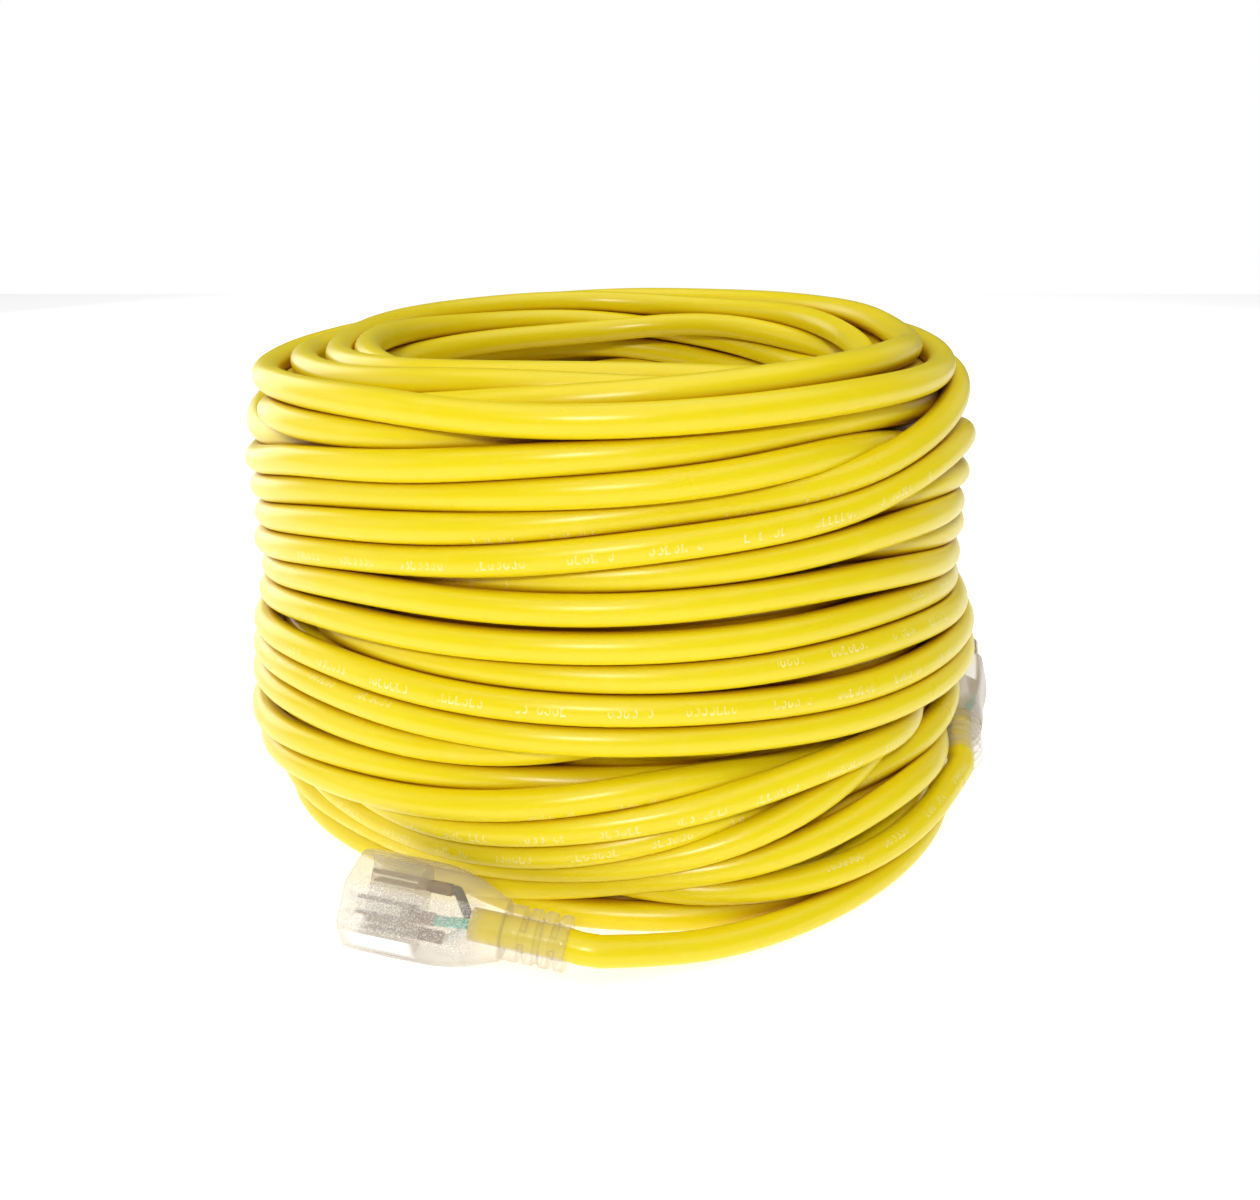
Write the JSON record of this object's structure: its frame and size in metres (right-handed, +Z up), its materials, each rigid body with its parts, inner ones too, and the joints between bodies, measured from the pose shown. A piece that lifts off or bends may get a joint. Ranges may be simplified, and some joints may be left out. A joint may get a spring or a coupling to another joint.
{
  "type": "extension cord",
  "caption": "Outdoor three-core extension cord wound in a tall round coil, with a clear moulded socket connector at one end and a clear moulded plug at the other.",
  "frame": {"origin": "on the floor under the middle of the whole object's box", "axes": "+Z up along the coil's axis, +X to the right and -Y to the front, where the socket connector lies"},
  "size_m": [0.2618, 0.2611, 0.154],
  "materials": {
    "cord_jacket": "satin extruded PVC, bright yellow",
    "clear_pvc": "clear moulded PVC, frosted on the earth side",
    "inner_insert": "milky moulded insert",
    "brass_contacts": "stamped brass strip",
    "brass_blades": "stamped and turned brass",
    "copper_strand": "bare stranded copper",
    "black_insulation": "satin PVC",
    "white_insulation": "satin PVC",
    "green_insulation": "satin PVC"
  },
  "bodies": {
    "root": {"cord_coil": "cord_jacket", "connector_lead": "cord_jacket", "plug_lead": "cord_jacket", "connector_body": "clear_pvc", "connector_strain_relief": "clear_pvc", "connector_socket_block": "inner_insert", "connector_line_contact": "brass_contacts", "connector_neutral_contact": "brass_contacts", "connector_ground_contact": "brass_contacts", "connector_line_wire": "black_insulation", "connector_line_core": "copper_strand", "connector_neutral_wire": "white_insulation", "connector_neutral_core": "copper_strand", "connector_ground_wire": "green_insulation", "connector_ground_core": "copper_strand", "plug_body": "clear_pvc", "plug_strain_relief": "clear_pvc", "plug_blade_carrier": "inner_insert", "plug_line_blade": "brass_blades", "plug_neutral_blade": "brass_blades", "plug_ground_pin": "brass_blades", "plug_line_wire": "black_insulation", "plug_line_core": "copper_strand", "plug_neutral_wire": "white_insulation", "plug_neutral_core": "copper_strand", "plug_ground_wire": "green_insulation", "plug_ground_core": "copper_strand"}
  },
  "joints": []
}
